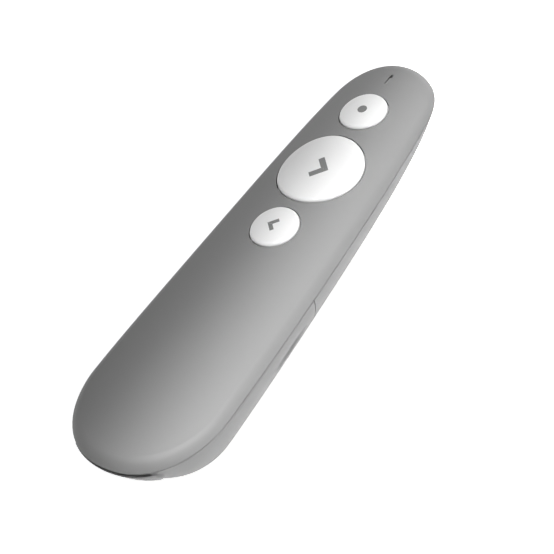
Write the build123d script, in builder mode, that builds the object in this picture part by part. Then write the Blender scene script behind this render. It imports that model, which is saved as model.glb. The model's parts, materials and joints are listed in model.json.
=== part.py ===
from build123d import *
from math import pi, sin, sqrt
import os

# A wireless presentation clicker in its own frame: X to the right, Y towards the
# nose, Z up, origin on the flat of the belly that it rests on, in the middle of
# its length. All sizes are in millimetres. A setback is a distance from the nose
# or the tail along the body, and a pull is the length of a curve's handle.

# ------------------------------------------------------------ cells and their tray
cell_radius, cell_length = 5.15, 44.5
cell_nub_radius, cell_nub_length = 1.9, 0.8
cell_spacing = 11.5
cell_clearance = 0.2
strip_width, strip_height, strip_thickness = 5.0, 3.9, 0.4
spring_length, spring_radius, spring_wire_radius = 3.2, 3.2, 0.25
spring_turns, spring_cone_angle, spring_wire_sides = 3, -20, 6
tray_wall, tray_roof, tray_depth_below_axis = 1.2, 0.6, 3.2
tray_edge_radius = 1.5
tray_half_width = cell_spacing / 2 + cell_radius + cell_clearance + tray_wall
cells_run = strip_thickness + cell_length + spring_length

# ------------------------------------------------------------------------ buttons
small_radius, large_radius = 6.15, 11.0
rear_land, front_land = 2.9, 3.1  # casing between the large button and a small one
button_gap = 0.25
button_travel = 0.5
cap_stand, cap_wall, cap_edge_radius = 0.55, 1.2, 0.9
flange_reach, flange_thickness, flange_gap = 0.9, 0.8, 0.1
stem_radius, rib_thickness, rib_height = 1.6, 0.8, 1.0
moat_width, moat_depth = 1.9, 0.85
dome_height = 0.35
dish_rim_width, dish_depth = 2.3, 0.45

# ------------------------------------------------------------ places along the body
tail_room, back_button_room, nose_room = 8.9, 11.9, 19.6
button_run = 2 * small_radius + 2 * large_radius + rear_land + front_land
body_length = tail_room + cells_run + tray_wall + back_button_room + button_run + nose_room
nose_y, tail_y = body_length / 2, -body_length / 2
cells_rear_y = tail_y + tail_room
cells_front_y = cells_rear_y + cells_run
tray_front_y = cells_front_y + tray_wall
back_y = tray_front_y + back_button_room
next_y = back_y + small_radius + rear_land + large_radius
laser_y = next_y + large_radius + front_land + small_radius

# ---------------------------------------------------------------- casing form
rim_height = 17.1  # parting line above the belly flat, at nose and tail
rim_sag = 0.9  # how far the parting line bows down in the middle
side_room = 7.65
shoulder_half_width, shoulder_setback, shoulder_taper = 14.45, 11.6, 0.18
widest_half_width, widest_setback = tray_half_width + side_room, 20.2
nose_pull, shoulder_front_pull, shoulder_rear_pull = 7.65, 6.4, 15.8
widest_front_pull, widest_rear_pull, tail_pull = 14.7, 6.4, 15.6

flat_nose_setback, flat_tail_setback = 53.0, 12.0
flat_front_half_width, flat_front_setback = 5.5, 65.0
flat_rear_half_width, flat_rear_setback = 6.0, 23.0
flat_end_pull, flat_side_pull = 4.0, 8.0
side_fullness, nose_fullness, tail_fullness = 1.76, 1.22, 1.15
hull_steps = 4

crown_over_rim = 3.8  # crown line above the rim where it is highest
crown_nose_drop, crown_tail_drop, crown_rear_dip = 1.15, 2.0, 0.2
crown_front_setback, crown_rear_setback = 33.6, 28.3
crown_nose_radius, crown_tail_radius = 28.0, 84.0
crown_overrun, crown_span = 6.0, 24.0
edge_radius = 3.3
draft_gap = 0.03  # the crowned block's side wall stands this far inside the hull's

wall = 1.5
reveal = 0.12  # open line between the casings
lip_thickness, lip_height = 0.7, 1.2
above_all, below_all = 30.0, -5.0  # beyond every piece, up and down

cell_axis_z = rim_height - 4.9
tray_top_z = cell_axis_z + cell_radius + cell_clearance + tray_roof
tray_bottom_z = cell_axis_z - tray_depth_below_axis

# ------------------------------------------------------------------ battery door
door_gap, door_gap_lead = 0.3, 0.2
door_gap_y = cells_front_y + door_gap_lead
rail_reach, rail_thickness = 1.5, 1.2
rail_front_gap = 4.0
hook_clearance = 0.2
hook_thickness, hook_length = 1.2, 6.0
hook_setbacks = (48.0, 24.0)  # middle of each hook, ahead of the tail
hook_overlap = 1.1
scallop_wheel_radius, scallop_edge_radius, scallop_depth = 31.0, 1.8, 0.8
scallop_y_behind_gap, scallop_z = 9.9, rim_height - 6.3
pull_lip_width, pull_lip_height, pull_lip_reach = 25.0, 3.0, 0.65
pull_lip_top_z = rim_height - 1.5
nail_groove_height, nail_groove_depth = 0.9, 0.9
tongue_width, tongue_thickness, tongue_reach = 6.5, 0.9, 2.0

# -------------------------------------------------------------- board and switches
board_thickness = 1.0
board_top_z = rim_height - 3.5
board_bottom_z = board_top_z - board_thickness
board_rear_y = tray_front_y + 2.8
board_front_y = nose_y - 12.4
board_rear_half_width, board_front_half_width, board_corner = 13.0, 10.0, 3.0
board_notch_half_width, board_notch_setback = 2.2, 16.6
switch_side, switch_height, switch_corner_radius = 4.5, 1.6, 0.3
plunger_radius, plunger_clearance = 1.0, 0.15
plunger_top_z = board_top_z + switch_height + 0.6
plunger_bottom_z = board_top_z + 1.0
chip_row_lead, chip_x = 4.5, 6.5
radio_chip_side, radio_chip_height = 5.0, 0.9
crystal_length, crystal_width, crystal_height, crystal_corner_radius = 3.2, 2.5, 0.7, 0.3
driver_chip_x, driver_chip_width, driver_chip_length = 7.5, 4.0, 5.0
small_chip_x, small_chip_length, small_chip_width, small_chip_pitch = 7.0, 1.6, 0.8, 2.0
small_chip_count, low_chip_height = 3, 0.8

# -------------------------------------------------------------------- laser module
barrel_radius, barrel_bore_radius, barrel_length = 1.75, 1.15, 6.5
barrel_front_setback = 9.5
beam_z = rim_height - 1.7
window_radius, window_gap = 1.4, 1.0
lens_thickness = 1.0
diode_length = 2.4
cradle_half_width, cradle_length = 1.2, 3.0

# -------------------------------------------------------------------- status light
slit_length, slit_width = 3.6, 0.8
slit_y = nose_y - 7.2
guide_recess = 0.3
guide_arm_z, guide_arm_height = rim_height + 0.3, 0.7
led_x, led_y = 4.2, nose_y - 13.0
led_side, led_height = 0.8, 0.6

# ------------------------------------------------------------------------ receiver
receiver_half_width, receiver_height, receiver_corner_radius = 7.2, 5.6, 1.2
receiver_cap_length, plug_length = 6.7, 12.0
plug_half_width, plug_height, plug_wall, plug_corner_radius = 6.0, 4.5, 0.35, 0.4
tongue_plate_height, tongue_plate_side_gap, tongue_plate_end_gap = 1.8, 0.3, 0.5
pocket_clearance, pocket_wall = 0.2, 0.9
pocket_bottom_z = rim_height - 12.3

# -------------------------------------------------------------------------- screws
screw_head_radius, screw_head_height = 1.6, 1.1
screw_shaft_radius, screw_shaft_length = 0.85, 4.2
screw_slot_width, screw_slot_depth = 0.5, 0.4
boss_radius = 1.9
ear_seat_z, ear_thickness = rim_height - 3.9, 1.2
ear_x, ear_setbacks = tray_half_width + boss_radius, (39.0, 15.0)
board_screw_inset, board_screw_rear_lead = 2.0, 4.5
board_screw_x = board_rear_half_width - board_screw_inset
board_screw_ys = (board_rear_y + board_screw_rear_lead, (next_y + laser_y) / 2 + 1.2)


def fuller(depth_share, fullness):
    """Share of the way in from rim to belly flat at a share of the way down."""
    return 1 - (1 - depth_share**fullness) ** (1 / fullness)


def between(rim_value, flat_value, share):
    return rim_value * (1 - share) + flat_value * share


def outline(height, depth_share=0.0, inset=0.0):
    """The body's plan outline at a height, shaped for a share of the depth below the rim."""
    side = fuller(depth_share, side_fullness)
    front = fuller(depth_share, nose_fullness)
    rear = fuller(depth_share, tail_fullness)
    nose = Vector(0, nose_y - between(0, flat_nose_setback, front) - inset)
    tail = Vector(0, tail_y + between(0, flat_tail_setback, rear) + inset)
    shoulder = Vector(
        between(shoulder_half_width, flat_front_half_width, side) - inset,
        nose_y - between(shoulder_setback, flat_front_setback, front) - inset * shoulder_taper,
    )
    widest = Vector(
        between(widest_half_width, flat_rear_half_width, side) - inset,
        tail_y + between(widest_setback, flat_rear_setback, side),
    )
    along = Vector(between(shoulder_taper, 0, side), -1).normalized()
    nose_scale = 1 - inset / shoulder_half_width
    tail_scale = 1 - inset / widest_half_width
    nose_out = Vector(between(nose_pull, flat_end_pull, side) * nose_scale, 0)
    shoulder_up = along * between(shoulder_front_pull, flat_end_pull, side) * nose_scale
    shoulder_down = along * between(shoulder_rear_pull, flat_side_pull, side)
    widest_up = Vector(0, between(widest_front_pull, flat_side_pull, side))
    widest_down = Vector(0, between(widest_rear_pull, flat_end_pull, side) * tail_scale)
    tail_out = Vector(between(tail_pull, flat_end_pull, side) * tail_scale, 0)
    right = [
        Edge.make_bezier(tail, tail + tail_out, widest - widest_down, widest),
        Edge.make_bezier(widest, widest + widest_up, shoulder + shoulder_down, shoulder),
        Edge.make_bezier(shoulder, shoulder - shoulder_up, nose + nose_out, nose),
    ]
    left = [edge.mirror(Plane.YZ) for edge in right]
    return Face(Wire(right + left).moved(Location((0, 0, height))))


def cross_plane(y):
    """Upright plane across the body at y, seen from the tail: local x is X, local y is Z."""
    return Plane(origin=(0, y, 0), x_dir=(1, 0, 0), z_dir=(0, -1, 0))


def crown_radius_at(y):
    """The crown's radius across the body at a place along it."""
    half = body_length / 2 + crown_overrun
    return between(crown_nose_radius, crown_tail_radius, (half - y) / (2 * half))


def crown_block(drop=0.0):
    """Everything below the crowned top surface, lowered by drop."""
    half = body_length / 2 + crown_overrun
    top = rim_height + crown_over_rim - drop
    heights = {
        half: top - crown_nose_drop,
        nose_y - crown_front_setback: top,
        (crown_rear_setback - crown_front_setback) / 2: top - crown_rear_dip,
        tail_y + crown_rear_setback: top - crown_rear_dip,
        -half: top - crown_tail_drop,
    }
    with BuildPart() as block:
        for y, height in heights.items():
            radius = crown_radius_at(y) - drop
            low = height - radius + sqrt(radius**2 - crown_span**2)
            with BuildSketch(cross_plane(y)):
                with BuildLine():
                    ThreePointArc((-crown_span, low), (0, height), (crown_span, low))
                    Polyline(
                        (crown_span, low),
                        (crown_span, below_all),
                        (-crown_span, below_all),
                        (-crown_span, low),
                    )
                make_face()
        loft()
    return block.part


def hull_form(inset=0.0):
    """The hull below the rim with straight side walls above it, or one inset inside it."""
    shares = [sin(step * pi / 2 / hull_steps) ** (2 / side_fullness) for step in range(hull_steps + 1)]
    with BuildPart() as hull:
        loft([outline(between(rim_height, inset, share), share, inset) for share in shares], clean=False)
        extrude(outline(rim_height, 0, inset), amount=2 * crown_over_rim, clean=False)
    return hull.part


def body_form(inset=0.0):
    """The body's closed outer form, or one that lies inset inside it."""
    with BuildPart() as block:
        extrude(outline(below_all, 0, inset + draft_gap), amount=above_all - below_all, clean=False)
        add(crown_block(inset), mode=Mode.INTERSECT, clean=False)
        fillet(block.faces().sort_by(Axis.Z)[-1].edges(), edge_radius - inset)
        add(hull_form(inset), mode=Mode.INTERSECT, clean=False)
    return block.part


def above_seam(drop=0.0):
    """Everything above the bowed parting surface, lowered by drop."""
    end_z, middle_z = rim_height - drop, rim_height - rim_sag - drop
    front, rear = nose_y + crown_overrun, tail_y - crown_overrun
    with BuildPart() as block:
        with BuildSketch(Plane.YZ):
            with BuildLine():
                ThreePointArc((rear, end_z), (0, middle_z), (front, end_z))
                Polyline((front, end_z), (front, above_all), (rear, above_all), (rear, end_z))
            make_face()
        extrude(amount=above_all, both=True)
    return block.part


outer_form = body_form()
outer_crown = crown_block()
inner_form = body_form(wall)
lip_form = hull_form(wall + lip_thickness)
upper_zone = above_seam()
lower_zone = above_seam(reveal)


def save(node, name):
    """Label a finished node and write its file."""
    node.part.label = name
    export_step(node.part, f"parts/{name}.step")


def both_sides(x, y):
    return [(-x, y), (x, y)]


def half_width_at(y, z):
    """How far the outer form reaches sideways at a place along it and a height."""
    with BuildPart() as probe:
        with Locations((0, y, z)):
            Box(body_length, wall, wall / 10)
        add(outer_form, mode=Mode.INTERSECT)
    return probe.part.bounding_box().max.X


def crown_height_at(y):
    """Height of the crown's middle line at a place along the body."""
    with BuildPart() as probe:
        with Locations((0, y, rim_height)):
            Box(wall / 10, wall / 10, above_all)
        add(outer_crown, mode=Mode.INTERSECT)
    return probe.part.bounding_box().max.Z


def crown_wheel(y, middle_z, radius, rise):
    """A wheel across the body whose rim meets the crown in a circle, seen from above.

    The rim passes through middle_z at y. A positive rise makes a wheel below the crown that
    domes a disc of that radius by rise, and a negative one a wheel above it that cuts a dish.
    """
    bend = 2 * rise / radius**2
    across = 1 / (1 / (crown_radius_at(y) + middle_z - crown_height_at(y)) + bend)
    low = middle_z - across + sqrt(across**2 - radius**2)
    slope = (crown_height_at(y + radius) - crown_height_at(y - radius)) / (2 * radius)
    axle_y, axle_z = y + slope / bend, middle_z - 1 / bend
    with BuildPart() as wheel:
        with BuildSketch(cross_plane(y)):
            with BuildLine():
                ThreePointArc((-radius, low), (0, middle_z), (radius, low))
                Polyline((radius, low), (radius, axle_z), (-radius, axle_z), (-radius, low))
            make_face()
        revolve(axis=Axis((0, axle_y, axle_z), (1, 0, 0)))
    return wheel.part


os.makedirs("parts", exist_ok=True)
small_buttons = {"laser": laser_y, "back": back_y}
ear_places = [place for setback in ear_setbacks for place in both_sides(ear_x, tail_y + setback)]
board_screw_places = [place for y in board_screw_ys for place in both_sides(board_screw_x, y)]

# --------------------------------------------------------------------- top shell
moat_radius = small_radius + button_gap + moat_width

with BuildPart() as moats:
    for y in small_buttons.values():
        add(crown_wheel(y, crown_height_at(y) - moat_depth, moat_radius, -moat_depth))

with BuildPart() as bosses:
    with BuildSketch(Plane.XY.offset(ear_seat_z + ear_thickness)):
        with Locations(*ear_places):
            Circle(boss_radius)
    extrude(amount=above_all)
    with BuildSketch(Plane.XY.offset(board_top_z)):
        with Locations(*board_screw_places):
            Circle(boss_radius)
    extrude(amount=above_all)
    for seat_z, places in ((ear_seat_z, ear_places), (board_bottom_z, board_screw_places)):
        with BuildSketch(Plane.XY.offset(seat_z)):
            with Locations(*places):
                Circle(screw_shaft_radius)
        extrude(amount=screw_shaft_length, mode=Mode.SUBTRACT)
    add(crown_block(wall / 2), mode=Mode.INTERSECT)

with BuildPart() as top_shell:
    add(outer_form, clean=False)
    add(upper_zone, mode=Mode.INTERSECT, clean=False)
    add(inner_form, mode=Mode.SUBTRACT, clean=False)
    with BuildSketch(Plane.XY.offset(rim_height - rim_sag)):
        with Locations(*[(0, y) for y in small_buttons.values()]):
            Circle(small_radius + button_gap)
        with Locations((0, next_y)):
            Circle(large_radius + button_gap)
        with Locations((0, slit_y)):
            SlotOverall(slit_length, slit_width, rotation=90)
    extrude(amount=above_all, mode=Mode.SUBTRACT, clean=False)
    add(moats.part, mode=Mode.SUBTRACT, clean=False)
    add(bosses.part, clean=False)
save(top_shell, "top_shell")

# -------------------------------------------------------------- front lower shell
barrel_rear_y = nose_y - barrel_front_setback - barrel_length
pocket_height = receiver_height + 2 * pocket_clearance
pocket_half_width = receiver_half_width + pocket_clearance
pocket_front_y = cells_front_y + receiver_cap_length + plug_length + pocket_clearance

with BuildPart() as cradle:
    with BuildSketch(Plane.XY.offset(wall)):
        with Locations((0, barrel_rear_y + barrel_length / 2)):
            Rectangle(2 * cradle_half_width, cradle_length)
    extrude(amount=beam_z - wall)
    with BuildSketch(Plane.XZ.offset(-barrel_rear_y)):
        with Locations((0, beam_z)):
            Circle(barrel_radius)
    extrude(amount=-barrel_length, mode=Mode.SUBTRACT)
    add(hull_form(wall / 2), mode=Mode.INTERSECT)

with BuildPart() as lip_ring:
    add(inner_form, clean=False)
    add(lip_form, mode=Mode.SUBTRACT, clean=False)
    add(above_seam(-lip_height), mode=Mode.SUBTRACT, clean=False)
    add(above_seam(lip_height), mode=Mode.INTERSECT, clean=False)
    with BuildSketch(Plane.XY):
        with Locations((0, door_gap_y)):
            Rectangle(body_length, body_length, align=(Align.CENTER, Align.MAX))
    extrude(amount=above_all, mode=Mode.SUBTRACT, clean=False)

with BuildPart() as front_lower_shell:
    add(outer_form, clean=False)
    add(lower_zone, mode=Mode.SUBTRACT, clean=False)
    with BuildSketch(Plane.XY.offset(below_all)):
        with Locations((0, door_gap_y)):
            Rectangle(body_length, body_length, align=(Align.CENTER, Align.MAX))
    extrude(amount=above_all - below_all, mode=Mode.SUBTRACT, clean=False)
    add(inner_form, mode=Mode.SUBTRACT, clean=False)
    add(lip_ring.part, clean=False)
    add(cradle.part, clean=False)
    with BuildSketch(Plane.XZ.offset(-nose_y)):
        with Locations((0, beam_z)):
            Circle(window_radius)
    extrude(amount=barrel_front_setback, mode=Mode.SUBTRACT, clean=False)
save(front_lower_shell, "front_lower_shell")

# ------------------------------------------------------------------ battery door
hook_places = [tail_y + setback for setback in hook_setbacks]
hook_bottom_z = tray_bottom_z + rail_thickness + hook_clearance
rail_half_width = tray_half_width + rail_reach
scallop_y = door_gap_y - scallop_y_behind_gap
scallop_x = half_width_at(scallop_y, scallop_z) + scallop_wheel_radius - scallop_depth

with BuildPart() as door_hooks:
    with BuildSketch(Plane.XY.offset(hook_bottom_z)):
        with Locations(*[(0, y) for y in hook_places]):
            Rectangle(3 * tray_half_width, hook_length)
            Rectangle(2 * (rail_half_width - hook_overlap), hook_length, mode=Mode.SUBTRACT)
    extrude(amount=hook_thickness)
    add(hull_form(wall / 2), mode=Mode.INTERSECT)

with BuildPart() as scallop:
    Torus(scallop_wheel_radius - scallop_edge_radius, scallop_edge_radius)

with BuildPart() as pull_lip:
    add(hull_form(-pull_lip_reach))
    with BuildSketch(Plane.XZ.offset(-tail_y)):
        with Locations((0, pull_lip_top_z - pull_lip_height / 2)):
            SlotOverall(pull_lip_width, pull_lip_height)
    extrude(amount=-flat_tail_setback, both=True, mode=Mode.INTERSECT)

with BuildPart() as nail_groove:
    with BuildSketch(Plane.XY.offset(pull_lip_top_z)):
        with Locations((0, tail_y)):
            Rectangle(pull_lip_width - pull_lip_height, 2 * flat_tail_setback)
    extrude(amount=nail_groove_height)
    add(hull_form(nail_groove_depth), mode=Mode.SUBTRACT)

with BuildPart() as battery_door:
    add(outer_form, clean=False)
    add(lower_zone, mode=Mode.SUBTRACT, clean=False)
    with BuildSketch(Plane.XY.offset(below_all)):
        with Locations((0, door_gap_y - door_gap)):
            Rectangle(body_length, body_length, align=(Align.CENTER, Align.MIN))
    extrude(amount=above_all - below_all, mode=Mode.SUBTRACT, clean=False)
    add(pull_lip.part, clean=False)
    add(nail_groove.part, mode=Mode.SUBTRACT, clean=False)
    add(inner_form, mode=Mode.SUBTRACT, clean=False)
    add(door_hooks.part, clean=False)
    with Locations((-scallop_x, scallop_y, scallop_z), (scallop_x, scallop_y, scallop_z)):
        add(scallop.part, mode=Mode.SUBTRACT, clean=False)
    with BuildSketch(Plane.XY.offset(wall + flange_gap)):
        with Locations((0, door_gap_y - door_gap)):
            Rectangle(tongue_width, 2 * (tongue_reach + door_gap))
    extrude(amount=tongue_thickness, clean=False)
save(battery_door, "battery_door")

# ----------------------------------------------------------------------- buttons
flange_ceiling = crown_block(wall + flange_gap)
flange_floor = crown_block(wall + flange_gap + flange_thickness)
raised_crown = crown_block(-cap_stand)
cap_underside = crown_block(cap_wall + dish_depth - cap_stand)
rib_floor = crown_block(cap_wall + dish_depth - cap_stand + rib_height)
button_places = {
    "laser": (laser_y, small_radius),
    "next": (next_y, large_radius),
    "back": (back_y, small_radius),
}


def cap_skin(y, radius, dished):
    """The outer form of a cap that follows the crown: dished, or domed over the crown."""
    crown_z = crown_height_at(y) + cap_stand
    with BuildPart() as skin:
        with BuildSketch(Plane.XY.offset(plunger_top_z)):
            with Locations((0, y)):
                Circle(radius)
        extrude(amount=above_all)
        if dished:
            add(raised_crown, mode=Mode.INTERSECT)
        else:
            dome = crown_wheel(y, crown_z + dome_height, radius + cap_wall, dome_height)
            add(dome, mode=Mode.INTERSECT)
        fillet(skin.faces().sort_by(Axis.Z)[-1].edges(), cap_edge_radius)
        if dished:
            dish = crown_wheel(y, crown_z - dish_depth, radius - dish_rim_width, -dish_depth)
            add(dish, mode=Mode.SUBTRACT)
    return skin.part


def button_cap(y, radius, dished):
    """A hollow cap that follows the crown, with a retaining flange, cross ribs and a stem."""
    with BuildPart() as ribs:
        with BuildSketch(Plane.XY.offset(plunger_top_z)):
            with Locations((0, y)):
                Rectangle(2 * radius - cap_wall, rib_thickness)
                Rectangle(rib_thickness, 2 * radius - cap_wall)
        extrude(amount=above_all)
        add(rib_floor, mode=Mode.SUBTRACT)
        with BuildSketch(Plane.XY.offset(plunger_top_z)):
            with Locations((0, y)):
                Circle(stem_radius)
        extrude(amount=above_all)
        add(cap_underside, mode=Mode.INTERSECT)
    with BuildPart() as flange:
        with BuildSketch(Plane.XY.offset(plunger_top_z)):
            with Locations((0, y)):
                Circle(radius + flange_reach)
        extrude(amount=above_all)
        add(flange_ceiling, mode=Mode.INTERSECT)
    with BuildPart() as hollow:
        with BuildSketch(Plane.XY.offset(board_top_z)):
            with Locations((0, y)):
                Circle(radius - cap_wall)
        extrude(amount=above_all)
        add(cap_underside, mode=Mode.INTERSECT)
    with BuildPart() as cap:
        add(cap_skin(y, radius, dished))
        add(flange.part)
        add(flange_floor, mode=Mode.SUBTRACT)
        add(hollow.part, mode=Mode.SUBTRACT)
        add(ribs.part)
    return cap


for button, (y, radius) in button_places.items():
    save(button_cap(y, radius, button == "next"), f"{button}_button")

    with BuildPart() as switch:
        with BuildSketch(Plane.XY.offset(board_top_z)):
            with Locations((0, y)):
                RectangleRounded(switch_side, switch_side, switch_corner_radius)
        extrude(amount=switch_height)
        with BuildSketch(Plane.XY.offset(plunger_bottom_z - button_travel - flange_gap)):
            with Locations((0, y)):
                Circle(plunger_radius + plunger_clearance)
        extrude(amount=switch_height, mode=Mode.SUBTRACT)
    save(switch, f"{button}_switch")

    with BuildPart() as plunger:
        with BuildSketch(Plane.XY.offset(plunger_bottom_z)):
            with Locations((0, y)):
                Circle(plunger_radius)
        extrude(amount=plunger_top_z - plunger_bottom_z)
    save(plunger, f"{button}_plunger")

# -------------------------------------------------------------------- the board
with BuildPart() as circuit_board:
    with BuildSketch(Plane.XY.offset(board_bottom_z)):
        with BuildLine():
            Polyline(
                (-board_rear_half_width, board_rear_y),
                (board_rear_half_width, board_rear_y),
                (board_rear_half_width, board_screw_ys[1] + boss_radius),
                (board_front_half_width, nose_y - board_notch_setback),
                (board_front_half_width - board_corner, board_front_y),
                (board_corner - board_front_half_width, board_front_y),
                (-board_front_half_width, nose_y - board_notch_setback),
                (-board_rear_half_width, board_screw_ys[1] + boss_radius),
                close=True,
            )
        make_face()
        with Locations((0, nose_y - board_notch_setback)):
            Rectangle(
                2 * board_notch_half_width,
                board_notch_setback,
                align=(Align.CENTER, Align.MIN),
                mode=Mode.SUBTRACT,
            )
        with Locations(*board_screw_places):
            Circle(screw_shaft_radius, mode=Mode.SUBTRACT)
    extrude(amount=board_thickness)
    add(lip_form, mode=Mode.INTERSECT)
save(circuit_board, "circuit_board")

with BuildPart() as radio_chip:
    with BuildSketch(Plane.XY.offset(board_top_z)):
        with Locations((chip_x, back_y + chip_row_lead)):
            Rectangle(radio_chip_side, radio_chip_side)
    extrude(amount=radio_chip_height)
save(radio_chip, "radio_chip")

with BuildPart() as crystal:
    with BuildSketch(Plane.XY.offset(board_top_z)):
        with Locations((-chip_x, back_y + chip_row_lead)):
            RectangleRounded(crystal_length, crystal_width, crystal_corner_radius)
    extrude(amount=crystal_height)
save(crystal, "crystal")

with BuildPart() as board_chips:
    with BuildSketch(Plane.XY.offset(board_top_z)):
        with Locations((driver_chip_x, next_y + driver_chip_length)):
            Rectangle(driver_chip_width, driver_chip_length)
        for row in range(1, small_chip_count + 1):
            with Locations(*both_sides(small_chip_x, next_y - switch_side / 2 - row * small_chip_pitch)):
                Rectangle(small_chip_length, small_chip_width)
    extrude(amount=low_chip_height)
save(board_chips, "board_chips")

with BuildPart() as status_led:
    with BuildSketch(Plane.XY.offset(board_top_z)):
        with Locations((led_x, led_y)):
            Rectangle(2 * led_side, led_side)
    extrude(amount=led_height)
save(status_led, "status_led")

with BuildPart() as light_guide:
    with BuildSketch(Plane.XY.offset(guide_arm_z)):
        with BuildLine():
            Polyline((led_x, led_y), (0, slit_y - slit_length / 2), (0, slit_y))
        trace(line_width=slit_width)
    extrude(amount=guide_arm_height)
    with BuildSketch(Plane.XY.offset(board_top_z + led_height)):
        with Locations((led_x, led_y)):
            Circle(slit_width / 2)
    extrude(amount=guide_arm_z + guide_arm_height - board_top_z - led_height)
    with BuildSketch(Plane.XY.offset(guide_arm_z)):
        with Locations((0, slit_y - slit_width / 2)):
            SlotOverall(slit_length - slit_width, slit_width, rotation=90)
    extrude(amount=above_all)
    add(crown_block(guide_recess), mode=Mode.INTERSECT)
save(light_guide, "light_guide")

# -------------------------------------------------------------- laser module
barrel_plane = Plane.XZ.offset(-barrel_rear_y)
beam = (0, beam_z)

with BuildPart() as laser_barrel:
    with BuildSketch(barrel_plane):
        with Locations(beam):
            Circle(barrel_radius)
            Circle(barrel_bore_radius, mode=Mode.SUBTRACT)
    extrude(amount=-barrel_length)
save(laser_barrel, "laser_barrel")

with BuildPart() as laser_diode:
    with BuildSketch(barrel_plane):
        with Locations(beam):
            Circle(barrel_bore_radius)
    extrude(amount=-diode_length)
save(laser_diode, "laser_diode")

with BuildPart() as collimator_lens:
    with BuildSketch(Plane.XZ.offset(lens_thickness - barrel_rear_y - barrel_length)):
        with Locations(beam):
            Circle(barrel_bore_radius)
    extrude(amount=-lens_thickness)
save(collimator_lens, "collimator_lens")

with BuildPart() as laser_window:
    with BuildSketch(Plane.XZ.offset(-nose_y)):
        with Locations(beam):
            Circle(window_radius)
    extrude(amount=barrel_front_setback - window_gap)
    add(outer_form, mode=Mode.INTERSECT)
save(laser_window, "laser_window")

# ---------------------------------------------------------------- battery tray
cell_side = cell_spacing / 2
channel_radius = cell_radius + cell_clearance
cells_plane = Plane.XZ.offset(-cells_rear_y)

with BuildPart() as battery_tray:
    with BuildSketch(Plane.XY.offset(tray_bottom_z)):
        with Locations((0, tray_front_y)):
            Rectangle(2 * tray_half_width, cells_run + 2 * tray_wall, align=(Align.CENTER, Align.MAX))
    extrude(amount=tray_top_z - tray_bottom_z)
    fillet(battery_tray.edges().filter_by(Axis.Y).sort_by(Axis.Z)[-2:], tray_edge_radius)
    with BuildSketch(cells_plane):
        for x in (-cell_side, cell_side):
            with Locations((x, cell_axis_z)):
                Circle(channel_radius)
                Rectangle(2 * channel_radius, above_all, align=(Align.CENTER, Align.MAX))
    extrude(amount=-cells_run, mode=Mode.SUBTRACT)
    with BuildSketch(cells_plane):
        with Locations((0, cell_axis_z)):
            Rectangle(cell_spacing, strip_height)
    extrude(amount=-strip_thickness, mode=Mode.SUBTRACT)
    with BuildSketch(Plane.XY.offset(tray_bottom_z)):
        with Locations((0, tray_front_y - rail_front_gap)):
            Rectangle(
                2 * rail_half_width,
                cells_run + 2 * tray_wall - rail_front_gap,
                align=(Align.CENTER, Align.MAX),
            )
            Rectangle(
                2 * tray_half_width - tray_wall,
                cells_run + 2 * tray_wall,
                align=(Align.CENTER, Align.MAX),
                mode=Mode.SUBTRACT,
            )
    extrude(amount=rail_thickness)
    with BuildSketch(Plane.XY.offset(ear_seat_z)):
        with Locations(*ear_places):
            Circle(boss_radius)
        for x, y in ear_places:
            inner = tray_half_width - tray_wall / 2
            with Locations(((abs(x) + inner) / 2 * (1 if x > 0 else -1), y)):
                Rectangle(abs(x) - inner, 2 * boss_radius)
        with Locations(*ear_places):
            Circle(screw_shaft_radius, mode=Mode.SUBTRACT)
    extrude(amount=ear_thickness)
    with BuildSketch(Plane.XZ.offset(tray_wall / 2 - tray_front_y)):
        with Locations((0, pocket_bottom_z + pocket_height / 2)):
            Rectangle(2 * (pocket_half_width + pocket_wall), pocket_height + 2 * pocket_wall)
    extrude(amount=tray_front_y - tray_wall / 2 - pocket_front_y - pocket_wall)
    with BuildSketch(Plane.XZ.offset(-cells_front_y)):
        with Locations((0, pocket_bottom_z + pocket_height / 2)):
            Rectangle(2 * pocket_half_width, pocket_height)
    extrude(amount=cells_front_y - pocket_front_y, mode=Mode.SUBTRACT)
    add(crown_block(wall), mode=Mode.INTERSECT)
    add(lip_form, mode=Mode.INTERSECT)
save(battery_tray, "battery_tray")

# ---------------------------------------------------- cells, springs and contacts


def cell(x, nub_y, towards_tail):
    """One cell with its positive nub at nub_y, pointing at the tail or the nose."""
    sense = 1 if towards_tail else -1
    with BuildPart() as body:
        with BuildSketch(Plane.XZ.offset(-nub_y)):
            with Locations((x, cell_axis_z)):
                Circle(cell_nub_radius)
        extrude(amount=-sense * cell_length)
        with BuildSketch(Plane.XZ.offset(-nub_y - sense * cell_nub_length)):
            with Locations((x, cell_axis_z)):
                Circle(cell_radius)
        extrude(amount=-sense * (cell_length - cell_nub_length))
    return body


left_nub_y = cells_front_y - strip_thickness
right_nub_y = cells_rear_y + strip_thickness
save(cell(-cell_side, left_nub_y, False), "battery_left")
save(cell(cell_side, right_nub_y, True), "battery_right")


def spring_coil(x, plate_y, sense):
    """A tapering cell spring that starts on the strip at plate_y."""
    start = Plane(origin=(x, plate_y, cell_axis_z), x_dir=(1, 0, 0), z_dir=(0, sense, 0))
    run = spring_length - strip_thickness - 2 * spring_wire_radius
    path = Helix(run / spring_turns, run, spring_radius, cone_angle=spring_cone_angle)
    path = start.offset(spring_wire_radius) * path
    with BuildPart() as coil:
        with BuildSketch(Plane(path @ 0, z_dir=path % 0)):
            RegularPolygon(spring_wire_radius, spring_wire_sides)
        sweep(path=path)
    return coil.part


def strip(x, y, width, sense):
    """A flat contact strip that stands on the end wall at y and faces along sense."""
    with BuildPart() as plate:
        with BuildSketch(Plane.XZ.offset(-y)):
            with Locations((x, cell_axis_z)):
                Rectangle(width, strip_height)
        extrude(amount=-sense * strip_thickness)
    return plate.part


with BuildPart() as front_contact:
    add(strip(-cell_side, cells_front_y, strip_width, -1))
save(front_contact, "front_contact")

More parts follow.
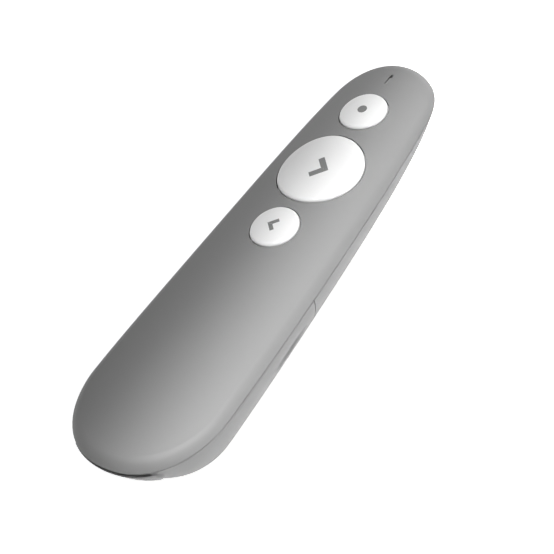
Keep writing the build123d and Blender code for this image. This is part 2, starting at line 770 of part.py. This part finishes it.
with BuildPart() as front_spring:
    add(strip(cell_side, cells_front_y, strip_width, -1))
    add(spring_coil(cell_side, cells_front_y - strip_thickness, -1))
save(front_spring, "front_spring")

with BuildPart() as cell_bridge:
    add(strip(0, cells_rear_y, cell_spacing + strip_width, 1))
    add(spring_coil(-cell_side, cells_rear_y + strip_thickness, 1))
save(cell_bridge, "cell_bridge")

# -------------------------------------------------------------------- receiver
receiver_rear_y = cells_front_y
cap_front_y = receiver_rear_y + receiver_cap_length
receiver_z = pocket_bottom_z + receiver_height / 2

with BuildPart() as receiver_cap:
    with BuildSketch(Plane.XZ.offset(-receiver_rear_y)):
        with Locations((0, receiver_z)):
            RectangleRounded(2 * receiver_half_width, receiver_height, receiver_corner_radius)
    extrude(amount=-receiver_cap_length)
save(receiver_cap, "receiver_cap")

with BuildPart() as receiver_plug:
    with BuildSketch(Plane.XZ.offset(-cap_front_y)):
        with Locations((0, receiver_z)):
            RectangleRounded(2 * plug_half_width, plug_height, plug_corner_radius)
            offset(amount=-plug_wall, mode=Mode.SUBTRACT)
    extrude(amount=-plug_length)
save(receiver_plug, "receiver_plug")

with BuildPart() as receiver_tongue:
    with BuildSketch(Plane.XZ.offset(-cap_front_y)):
        with Locations((0, receiver_z + plug_height / 2 - plug_wall - tongue_plate_height / 2)):
            Rectangle(2 * (plug_half_width - plug_wall - tongue_plate_side_gap), tongue_plate_height)
    extrude(amount=tongue_plate_end_gap - plug_length)
save(receiver_tongue, "receiver_tongue")

# ---------------------------------------------------------------------- screws


def screws(places, seat_z):
    """Screws with their heads under a seat at seat_z and their shafts up into the bosses."""
    with BuildPart() as group:
        with BuildSketch(Plane.XY.offset(seat_z)):
            with Locations(*places):
                Circle(screw_head_radius)
        extrude(amount=-screw_head_height)
        with BuildSketch(Plane.XY.offset(seat_z)):
            with Locations(*places):
                Circle(screw_shaft_radius)
        extrude(amount=screw_shaft_length)
        with BuildSketch(Plane.XY.offset(seat_z - screw_head_height)):
            with Locations(*places):
                Rectangle(2 * screw_shaft_radius, screw_slot_width)
                Rectangle(screw_slot_width, 2 * screw_shaft_radius)
        extrude(amount=screw_slot_depth, mode=Mode.SUBTRACT)
    return group


save(screws(ear_places, ear_seat_z), "tray_screws")
save(screws(board_screw_places, board_bottom_z), "board_screws")
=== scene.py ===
# %% [markdown]
# A wireless presentation clicker
#
# The object is a hand-held remote with a leaf-shaped casing of soft-touch grey
# plastic, three white thumb buttons and a sliding battery door. The casing, the
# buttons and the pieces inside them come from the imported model, which is loaded
# here as a fixed frame. This file gives every surface its finish and adds what a
# printer adds: the dot and the two arrow heads on the buttons.

# %% Load the frame
import bpy
import json
import math
from mathutils import Matrix, Vector


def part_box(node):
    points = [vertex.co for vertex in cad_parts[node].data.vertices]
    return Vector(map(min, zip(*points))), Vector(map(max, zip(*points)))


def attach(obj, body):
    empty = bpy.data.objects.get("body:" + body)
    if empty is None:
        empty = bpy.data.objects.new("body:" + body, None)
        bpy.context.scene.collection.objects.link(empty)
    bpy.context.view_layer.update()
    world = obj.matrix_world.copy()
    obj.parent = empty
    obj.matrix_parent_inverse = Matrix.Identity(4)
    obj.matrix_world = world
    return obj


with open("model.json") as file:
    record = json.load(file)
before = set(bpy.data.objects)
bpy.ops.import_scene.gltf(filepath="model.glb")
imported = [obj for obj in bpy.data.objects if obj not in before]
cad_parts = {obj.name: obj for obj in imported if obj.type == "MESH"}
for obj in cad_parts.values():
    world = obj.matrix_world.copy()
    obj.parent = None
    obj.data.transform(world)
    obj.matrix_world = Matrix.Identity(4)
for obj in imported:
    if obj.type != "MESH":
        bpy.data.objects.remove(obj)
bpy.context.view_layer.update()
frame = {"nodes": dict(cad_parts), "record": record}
nodes = frame["nodes"]
MM = 0.001

# %% [markdown]
# Small helpers
#
# Materials are written in the hex colours that a paint chart gives, and the
# renderer works in linear light, so one function turns one into the other. One
# more function adds a node to a material with its settings and its links.

# %% Colour and node helpers


def linear(hex_colour):
    """A linear RGBA colour from an sRGB hex one, such as "#8a8a8c"."""
    channels = [int(hex_colour[i:i + 2], 16) / 255 for i in (1, 3, 5)]
    light = [c / 12.92 if c <= 0.04045 else ((c + 0.055) / 1.055) ** 2.4 for c in channels]
    return light + [1.0]


def add_node(tree, kind, settings=(), links=()):
    """Add a node, set its properties or sockets by name or number, and link sockets into it."""
    node = tree.nodes.new(kind)
    for name, value in dict(settings).items():
        if isinstance(name, str) and hasattr(node, name):
            setattr(node, name, value)
        else:
            node.inputs[name].default_value = value
    for name, socket in dict(links).items():
        tree.links.new(socket, node.inputs[name])
    return node


def new_material(name, **surface):
    """A material with one Principled shader, its node tree, and the shader to link into."""
    material = bpy.data.materials.new(name)
    material.use_nodes = True
    shader = material.node_tree.nodes["Principled BSDF"]
    for socket, value in surface.items():
        shader.inputs[socket.replace("_", " ")].default_value = value
    return material, material.node_tree, shader


print("mid grey #808080 is", round(linear("#808080")[0], 3), "in linear light")

# %% [markdown]
# Moulded plastic
#
# A mould's inside is spark-eroded or blasted, and the plastic copies that grain.
# It could be carved into the mesh, but a grain of a tenth of a millimetre would
# need millions of faces. So a fine noise drives a low bump and a small change of
# gloss, and a second, broader noise adds a trace of colour, as resin flows give.

# %% Grained plastic
GRAINS_PER_CLOUD = 40  # the broad noise is this many grains across
GRAIN_HEIGHT = 0.02
GRAIN_GLOSS = 0.04  # how far roughness swings either way over the grain


def grained_plastic(name, colour, roughness, grain_mm, bump, variation, **surface):
    """Moulded plastic with a fine grain in its height and gloss and a trace of colour change."""
    material, tree, shader = new_material(name, Roughness=roughness, **surface)
    place = add_node(tree, "ShaderNodeTexCoord")
    grain = add_node(
        tree, "ShaderNodeTexNoise",
        {"Scale": 1 / (grain_mm * MM), "Detail": 2.0, "Roughness": 0.6},
        {"Vector": place.outputs["Object"]},
    )
    cloud = add_node(
        tree, "ShaderNodeTexNoise",
        {"Scale": 1 / (GRAINS_PER_CLOUD * grain_mm * MM), "Detail": 3.0},
        {"Vector": place.outputs["Object"]},
    )
    base = linear(colour)[:3]
    tint = add_node(
        tree, "ShaderNodeMix", {"data_type": "RGBA"}, {"Factor": cloud.outputs["Fac"]}
    )
    tint.inputs["A"].default_value = [c * (1 - variation) for c in base] + [1.0]
    tint.inputs["B"].default_value = [c * (1 + variation) for c in base] + [1.0]
    tree.links.new(tint.outputs["Result"], shader.inputs["Base Color"])
    gloss = add_node(
        tree, "ShaderNodeMapRange",
        {"To Min": roughness - GRAIN_GLOSS, "To Max": roughness + GRAIN_GLOSS},
        {"Value": grain.outputs["Fac"]},
    )
    tree.links.new(gloss.outputs["Result"], shader.inputs["Roughness"])
    height = add_node(
        tree, "ShaderNodeBump",
        {"Strength": bump, "Distance": GRAIN_HEIGHT * MM},
        {"Height": grain.outputs["Fac"]},
    )
    tree.links.new(height.outputs["Normal"], shader.inputs["Normal"])
    print(name, "has a grain of", grain_mm, "mm")
    return material


# %% [markdown]
# Soft-touch ABS for the casing
#
# The casing is injection-moulded ABS under a thin soft-touch lacquer. The eye
# sees a mid grey with no sharp reflection, only a broad sheen that spreads over
# the curves. The real grain is about 0.05 mm across, too fine to show, so it is
# drawn at 0.25 mm and kept faint.

# %% Soft-touch grey ABS
soft_touch_abs = grained_plastic(
    "soft_touch_grey_abs", "#888888", 0.55, grain_mm=0.25, bump=0.12, variation=0.02, IOR=1.5
)

# %% [markdown]
# White ABS for the buttons
#
# The caps are moulded in white ABS from a finely blasted mould. They are glossier
# than the casing, so that the light's edge shows on their rounded rims.

# %% Satin white ABS
satin_white_abs = grained_plastic(
    "satin_white_abs", "#f4f4f4", 0.32, grain_mm=0.25, bump=0.05, variation=0.005, IOR=1.53
)

# %% [markdown]
# Printing ink for the signs
#
# The dot and the arrow heads are pad-printed in grey epoxy ink. The ink lies a few
# hundredths of a millimetre thick with a dull face, and its cover varies a little.

# %% Grey pad-printing ink
printing_ink = grained_plastic(
    "grey_printing_ink", "#797979", 0.55, grain_mm=0.12, bump=0.1, variation=0.05, IOR=1.5
)

# %% [markdown]
# Plastics of the inner pieces
#
# The door slides off, so the cells and their tray can be seen. The tray is black
# PC-ABS, dull and with a coarser grain. The switches' plungers are glass-filled
# nylon, the chips matt black epoxy, and the board is fibreglass under green
# lacquer, which is the glossiest of them.

# %% Inner plastics
black_pc_abs = grained_plastic(
    "black_pc_abs", "#232325", 0.5, grain_mm=0.3, bump=0.3, variation=0.05, IOR=1.58
)
switch_nylon = grained_plastic(
    "switch_nylon", "#161616", 0.45, grain_mm=0.25, bump=0.1, variation=0.03, IOR=1.53
)
chip_epoxy = grained_plastic(
    "chip_epoxy", "#1b1c1e", 0.6, grain_mm=0.1, bump=0.3, variation=0.05, IOR=1.55
)
solder_mask = grained_plastic(
    "green_solder_mask", "#0f4a2a", 0.3, grain_mm=0.4, bump=0.15, variation=0.1, IOR=1.5
)

# %% [markdown]
# Acrylic for the laser's window and the light guide
#
# Both are moulded in acrylic. The laser's window and lens are polished and clear,
# so the beam passes straight. The light guide's face is frosted, to spread its
# light, and with the light off it looks almost as grey as the casing. Glass would
# do for the window, but acrylic has the lower IOR and so the softer reflection.

# %% Clear and frosted acrylic
clear_pmma, _, _ = new_material(
    "clear_pmma", Base_Color=linear("#e9eef0"), Roughness=0.06, IOR=1.49,
    Transmission_Weight=0.9,
)
frosted_pmma = grained_plastic(
    "frosted_pmma", "#9a9a9a", 0.4, grain_mm=0.2, bump=0.1, variation=0.02, IOR=1.49,
    Transmission_Weight=0.2,
)

# %% [markdown]
# Springs, contacts and screws
#
# Springs, contact strips, screws and the switches' covers are steel under bright
# nickel, and the laser's barrel is turned brass. Drawing and turning leave fine
# streaks and a small change of gloss. A stretched noise draws them 0.1 mm wide, and
# a metal keeps its default IOR.

# %% Plated and turned metals
STREAK_WIDTH = 0.1
STREAK_STRETCH = 0.1  # the noise runs this much slower along the piece
STREAK_GLOSS = 0.1


def streaked_metal(name, colour, roughness):
    """Nickel plate or turned brass with fine streaks in its gloss."""
    material, tree, shader = new_material(name, Base_Color=linear(colour), Metallic=1.0)
    place = add_node(tree, "ShaderNodeTexCoord")
    stretch = add_node(
        tree, "ShaderNodeMapping",
        {"Scale": (1.0, STREAK_STRETCH, 1.0)}, {"Vector": place.outputs["Object"]},
    )
    streaks = add_node(
        tree, "ShaderNodeTexNoise",
        {"Scale": 1 / (STREAK_WIDTH * MM), "Detail": 2.0}, {"Vector": stretch.outputs["Vector"]},
    )
    gloss = add_node(
        tree, "ShaderNodeMapRange",
        {"To Min": roughness - STREAK_GLOSS, "To Max": roughness + STREAK_GLOSS},
        {"Value": streaks.outputs["Fac"]},
    )
    tree.links.new(gloss.outputs["Result"], shader.inputs["Roughness"])
    print(name, "has streaks", STREAK_WIDTH, "mm wide")
    return material


nickel_plate = streaked_metal("nickel_plated_steel", "#c8c4bb", 0.28)
turned_brass = streaked_metal("turned_brass", "#c9a255", 0.25)

# %% [markdown]
# The cells
#
# Each cell is a nickel-plated steel can in a shrunk, printed sleeve: dark green for
# most of its length, with a light grey band round the positive end. The sleeve
# stops short of both ends and shows the bare steel there. The two cells point
# opposite ways, so the pattern is a ramp on the distance from the positive nub,
# and one function writes it for either cell.

# %% Printed cells
CELL_LENGTH, NUB_LENGTH, BARE_RIM, SHOULDER_BAND = 44.5, 0.8, 0.5, 9.0
BARE_STEEL = ("#c8c4bb", 1.0, 0.25)  # colour, metallic, roughness
GREY_SLEEVE = ("#8d9299", 0.0, 0.3)
GREEN_SLEEVE = ("#2b3f33", 0.0, 0.3)


def printed_cell(name, node, nub_towards_nose):
    """A cell's sleeve and bare ends, laid out along Y from its positive nub."""
    material, tree, shader = new_material(name)
    lowest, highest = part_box(node)
    nub_y = highest[1] if nub_towards_nose else lowest[1]
    away_from_nub = -1 if nub_towards_nose else 1
    place = add_node(tree, "ShaderNodeTexCoord")
    along = add_node(tree, "ShaderNodeSeparateXYZ", (), {"Vector": place.outputs["Object"]})
    from_nub = add_node(
        tree, "ShaderNodeMapRange",
        {"From Min": nub_y, "From Max": nub_y + away_from_nub * CELL_LENGTH * MM},
        {"Value": along.outputs["Y"]},
    )
    sleeve_start = NUB_LENGTH + BARE_RIM
    stops = [
        (0.0, BARE_STEEL),
        (sleeve_start / CELL_LENGTH, GREY_SLEEVE),
        ((sleeve_start + SHOULDER_BAND) / CELL_LENGTH, GREEN_SLEEVE),
        (1 - BARE_RIM / CELL_LENGTH, BARE_STEEL),
    ]
    looks = {"Base Color": [], "Metallic": [], "Roughness": []}
    for start, (colour, metal, rough) in stops:
        looks["Base Color"].append((start, linear(colour)))
        looks["Metallic"].append((start, [metal] * 3 + [1.0]))
        looks["Roughness"].append((start, [rough] * 3 + [1.0]))
    for socket, bands in looks.items():
        ramp = add_node(tree, "ShaderNodeValToRGB", (), {"Fac": from_nub.outputs["Result"]})
        ramp.color_ramp.interpolation = "CONSTANT"
        for _ in range(len(bands) - len(ramp.color_ramp.elements)):
            ramp.color_ramp.elements.new(0.5)
        for element, (start, value) in zip(ramp.color_ramp.elements, bands):
            element.position, element.color = start, value
        tree.links.new(ramp.outputs["Color"], shader.inputs[socket])
    print(name, "has its nub at y", round(nub_y / MM, 1), "mm")
    return material


left_cell = printed_cell("printed_cell_left", "battery_left", nub_towards_nose=True)
right_cell = printed_cell("printed_cell_right", "battery_right", nub_towards_nose=False)

# %% [markdown]
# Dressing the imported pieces
#
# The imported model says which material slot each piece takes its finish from, so
# the finishes are handed out by slot. The two cells lie opposite ways and the light
# guide is frosted, so these three get their own.

# %% Hand out the finishes
finish_of = {
    "grey_plastic": soft_touch_abs,
    "white_plastic": satin_white_abs,
    "clear_plastic": clear_pmma,
    "brass": turned_brass,
    "steel": nickel_plate,
    "board_laminate": solder_mask,
    "chip_plastic": chip_epoxy,
    "switch_plastic": switch_nylon,
    "tray_plastic": black_pc_abs,
}
own_finish = {
    "battery_left": left_cell,
    "battery_right": right_cell,
    "light_guide": frosted_pmma,
}
slot_of = {part["node"]: part["material_slot"] for part in frame["record"]["subparts"]}
for name, piece in nodes.items():
    piece.data.materials.clear()
    piece.data.materials.append(own_finish.get(name) or finish_of[slot_of[name]])
print("finished", len(nodes), "nodes")

# %% [markdown]
# The printed signs
#
# A sign could be a pattern in the cap's material, but then its edge is only as
# sharp as the bake, so each sign is a thin slab of ink of its own. It is drawn
# flat above the cap, pressed down onto the cap's curve with a Shrinkwrap modifier
# and given its thickness with Solidify. The slab reaches a little below the cap's
# surface, so that no gap shows under its edge.

# %% Press a flat sign onto a cap
INK_PROUD, INK_BELOW = 0.03, 0.06
SIGN_CLEARANCE = 2.0


def middle_of(cap):
    """The middle of a cap along the casing, and a height just above it."""
    lowest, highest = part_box(cap)
    return (lowest[1] + highest[1]) / 2, highest[2] + SIGN_CLEARANCE * MM


def press_on(cap, body, name):
    """Turn the active flat mesh into ink that lies on a cap and moves with it."""
    sign = bpy.context.object
    sign.name = sign.data.name = name
    bpy.ops.object.transform_apply(location=True, rotation=True, scale=True)
    press = sign.modifiers.new("press", "SHRINKWRAP")
    press.target, press.wrap_method, press.use_project_z = nodes[cap], "PROJECT", True
    press.use_positive_direction, press.use_negative_direction = False, True
    press.offset = INK_PROUD * MM
    bpy.ops.object.modifier_apply(modifier=press.name)
    layer = sign.modifiers.new("layer", "SOLIDIFY")
    layer.thickness, layer.offset = (INK_PROUD + INK_BELOW) * MM, -1.0
    bpy.ops.object.modifier_apply(modifier=layer.name)
    sign.data.materials.append(printing_ink)
    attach(sign, body)
    print(name, "has", len(sign.data.polygons), "faces")


# %% [markdown]
# The laser button's dot
#
# The dot is a disc. A circle filled with one face would stay flat when pressed, so
# its face is inset twice and then poked, which gives two rings and a middle point
# that can follow the cap.

# %% Laser dot
DOT_RADIUS, DOT_SIDES = 1.22, 64
RING_STEP = 0.35 * DOT_RADIUS
dot_y, dot_z = middle_of("laser_button")
bpy.ops.object.select_all(action="DESELECT")
bpy.ops.mesh.primitive_circle_add(
    vertices=DOT_SIDES, radius=DOT_RADIUS * MM, fill_type="NGON", location=(0, dot_y, dot_z)
)
bpy.ops.object.mode_set(mode="EDIT")
bpy.ops.mesh.select_all(action="SELECT")
for _ in range(2):
    bpy.ops.mesh.inset(thickness=RING_STEP * MM)
bpy.ops.mesh.poke()
bpy.ops.object.mode_set(mode="OBJECT")
press_on("laser_button", "laser_key", "laser_dot_print")

# %% [markdown]
# The arrow heads
#
# An arrow head is two equal strokes that meet in a mitre. One stroke is a plane,
# subdivided so that it bends with the cap, then stretched, turned and moved into
# place. It runs past the middle line, where bisect cuts it off, and the Mirror
# modifier makes the other stroke, and the mitre with it. Without a window,
# transform.rotate turns clockwise, so the angle is given with its sign changed.

# %% Arrow heads
STROKE_CUTS = 11
MITRE_MERGE = 0.01


def arrow_head(cap, body, name, tip_x, reach, spread, stroke):
    """A printed arrow head: from tip_x its strokes reach back and spread to each side."""
    middle_y, above_z = middle_of(cap)
    middle = Vector((0, middle_y, above_z))
    along = Vector((-reach, spread, 0)).normalized()
    outward = Vector((spread, reach, 0)).normalized() * math.copysign(1, reach)
    length = math.hypot(reach, spread)
    from_tip = along * (length - stroke) / 2 - outward * stroke / 2
    bpy.ops.object.select_all(action="DESELECT")
    bpy.ops.mesh.primitive_plane_add(size=MM, location=middle)
    bpy.ops.object.mode_set(mode="EDIT")
    bpy.ops.mesh.select_all(action="SELECT")
    bpy.ops.mesh.subdivide(number_cuts=STROKE_CUTS)
    bpy.ops.transform.resize(value=(length + stroke, stroke, 1), center_override=middle)
    bpy.ops.transform.rotate(
        value=-math.atan2(along.y, along.x), orient_axis="Z", center_override=middle
    )
    bpy.ops.transform.translate(value=(Vector((tip_x, 0, 0)) + from_tip) * MM)
    bpy.ops.mesh.bisect(plane_co=middle, plane_no=(0, 1, 0), clear_inner=True)
    bpy.ops.object.mode_set(mode="OBJECT")
    other_stroke = bpy.context.object.modifiers.new("other stroke", "MIRROR")
    other_stroke.use_axis = (False, True, False)
    other_stroke.merge_threshold = MITRE_MERGE * MM
    bpy.ops.object.modifier_apply(modifier=other_stroke.name)
    press_on(cap, body, name)


arrow_head(
    "next_button", "next_key", "next_arrow_print", tip_x=2.6, reach=3.3, spread=3.4, stroke=1.55
)
arrow_head(
    "back_button", "back_key", "back_arrow_print", tip_x=-1.7, reach=-2.0, spread=2.0, stroke=1.0
)

# %% [markdown]
# The camera
#
# The view is from above the tail's right side. The rotation's three rows are the
# camera's right, up and back directions in the object's own frame, and the lens
# is a short telephoto, so that the tail looks only a little larger than the nose.

# %% Camera
IMAGE_SIZE = 554
FOCAL_PIXELS = 1430.0
SENSOR_MM = 36.0
VIEW_AZIMUTH, VIEW_ELEVATION, VIEW_ROLL = (math.radians(a) for a in (52.17, 44.7, -24.2))
VIEW_DISTANCE = 337.0 * MM
AIM = Vector((2.46, -2.21, 11.62)) * MM

back = Vector((
    math.sin(VIEW_AZIMUTH) * math.cos(VIEW_ELEVATION),
    -math.cos(VIEW_AZIMUTH) * math.cos(VIEW_ELEVATION),
    math.sin(VIEW_ELEVATION),
))
level_right = Vector((0, 0, 1)).cross(back).normalized()
level_up = back.cross(level_right)
right = level_right * math.cos(VIEW_ROLL) + level_up * math.sin(VIEW_ROLL)
up = level_up * math.cos(VIEW_ROLL) - level_right * math.sin(VIEW_ROLL)

camera_data = bpy.data.cameras.new("camera")
camera_data.sensor_width = SENSOR_MM
camera_data.lens = FOCAL_PIXELS / IMAGE_SIZE * SENSOR_MM
camera_data.clip_start = 10 * MM
camera = bpy.data.objects.new("camera", camera_data)
turn = Matrix((right, up, back)).transposed().to_4x4()
camera.matrix_world = Matrix.Translation(AIM + back * VIEW_DISTANCE) @ turn
bpy.context.scene.collection.objects.link(camera)
bpy.context.scene.camera = camera
print("camera at", [round(c / MM, 1) for c in camera.location], "mm")

# %% [markdown]
# The table and the tent
#
# The clicker lies on white paper in a white light tent. Enough lamp light to make
# the paper pure white would overexpose the clicker too. So the paper and the tent
# reflect an ordinary amount of light onto the object, and they are brighter only
# as seen: by the camera, in a reflection or through clear plastic. A Light Path
# node tells these rays apart.

# %% Rays that see the white surroundings


def seen_ray(tree):
    """A socket that is 1 for camera, glossy and transmitted rays, and 0 for diffuse ones."""
    ray = add_node(tree, "ShaderNodeLightPath")
    surface_seen = add_node(
        tree, "ShaderNodeMath", {"operation": "MAXIMUM"},
        {0: ray.outputs["Is Camera Ray"], 1: ray.outputs["Is Glossy Ray"]},
    )
    any_seen = add_node(
        tree, "ShaderNodeMath", {"operation": "MAXIMUM"},
        {0: surface_seen.outputs[0], 1: ray.outputs["Is Transmission Ray"]},
    )
    return any_seen.outputs[0]


# %% [markdown]
# White paper
#
# Sheet paper is matt and a little under pure white. Its glow alone stays under
# white too, so the clicker's shadow still lies on it. Seen from below the sheet is
# clear, so that the belly can be looked at, and it lies a hair under the belly,
# because two faces in one plane flicker.

# %% Table
TABLE_SIZE = 4.0  # metres
PAPER_GLOW = 0.9
PAPER_DROP = 0.05
bpy.ops.object.select_all(action="DESELECT")
bpy.ops.mesh.primitive_plane_add(size=TABLE_SIZE, location=(0, 0, -PAPER_DROP * MM))
table = bpy.context.object
table.name = "table"
paper, paper_tree, paper_shader = new_material(
    "white_paper", Base_Color=linear("#f2f2f2"), Roughness=0.9, Emission_Color=(1, 1, 1, 1)
)
glow = add_node(
    paper_tree, "ShaderNodeMapRange",
    {"To Min": 0.0, "To Max": PAPER_GLOW}, {"Value": seen_ray(paper_tree)},
)
paper_tree.links.new(glow.outputs["Result"], paper_shader.inputs["Emission Strength"])
sheet_side = add_node(paper_tree, "ShaderNodeNewGeometry")
clear = add_node(paper_tree, "ShaderNodeBsdfTransparent")
one_sided = add_node(paper_tree, "ShaderNodeMixShader", (), {
    "Fac": sheet_side.outputs["Backfacing"],
    1: paper_shader.outputs["BSDF"],
    2: clear.outputs["BSDF"],
})
paper_output = paper_tree.nodes["Material Output"]
paper_tree.links.new(one_sided.outputs["Shader"], paper_output.inputs["Surface"])
table.data.materials.append(paper)
print("paper", TABLE_SIZE, "m square,", PAPER_DROP, "mm under the belly")

# %% [markdown]
# The tent
#
# The tent is the world's background: one even white, with a little of it as light,
# which stands for what its cloth scatters back.

# %% Tent
TENT_STRENGTH = 0.03
tent = bpy.data.worlds.new("light_tent")
bpy.context.scene.world = tent
tent.use_nodes = True
backdrop = tent.node_tree.nodes["Background"]
backdrop.inputs["Color"].default_value = (1, 1, 1, 1)
shine = add_node(
    tent.node_tree, "ShaderNodeMapRange",
    {"To Min": TENT_STRENGTH, "To Max": 1.0}, {"Value": seen_ray(tent.node_tree)},
)
tent.node_tree.links.new(shine.outputs["Result"], backdrop.inputs["Strength"])
print("tent lights with", TENT_STRENGTH, "of the white that is seen")

# %% [markdown]
# The lamps
#
# A long strip softbox hangs over the clicker's right edge, parallel to it, with a
# grid on its front that keeps its light in a narrow fan. The fan falls off across
# the casing, so the right of the crown is light and its left is dark. A weaker
# strip over the middle keeps the left from going black, a strip low on each side
# lights the flanks, and a square softbox beyond the nose brightens that end.
# Places and sizes are in millimetres, the fan in degrees and the power in watts,
# which is low because the boxes are small and near.

# %% Soft lamps
LENGTHWISE, SIDEWAYS = Vector((0, 1, 0)), Vector((1, 0, 0))
CROWN_HEIGHT, EDGE_X = 19, 28
OPEN_FAN = 180


def soft_lamp(name, place, aim, width, length, power, fan=OPEN_FAN):
    """A softbox that faces a point, with its length along the casing if it hangs beside it."""
    lamp = bpy.data.lights.new(name, "AREA")
    lamp.shape, lamp.size, lamp.size_y = "RECTANGLE", width * MM, length * MM
    lamp.spread, lamp.energy = math.radians(fan), power
    holder = bpy.data.objects.new(name, lamp)
    place, aim = Vector(place) * MM, Vector(aim) * MM
    facing = (place - aim).normalized()
    hangs_beside = abs(facing.y) < 0.5
    across = LENGTHWISE.cross(facing).normalized() if hangs_beside else SIDEWAYS
    turn = Matrix((across, facing.cross(across), facing)).transposed().to_4x4()
    holder.matrix_world = Matrix.Translation(place) @ turn
    holder.visible_camera = False
    bpy.context.scene.collection.objects.link(holder)
    print(name, "gives", power, "W")


crown = (0, 0, CROWN_HEIGHT)
right_edge = (EDGE_X, 0, CROWN_HEIGHT)
soft_lamp("edge_strip", (EDGE_X, 0, 139), right_edge, 30, 270, power=0.056, fan=40)
soft_lamp("crown_strip", (0, 0, 89), crown, 30, 220, power=0.0245)
soft_lamp("flank_strip", (199, 0, 36), crown, 30, 350, power=0.25)
soft_lamp("left_strip", (-199, 0, 20), (0, 0, 0), 30, 350, power=0.04)
soft_lamp("nose_box", (0, 290, 93), crown, 150, 150, power=0.14)

bpy.context.scene.view_settings.view_transform = "Standard"
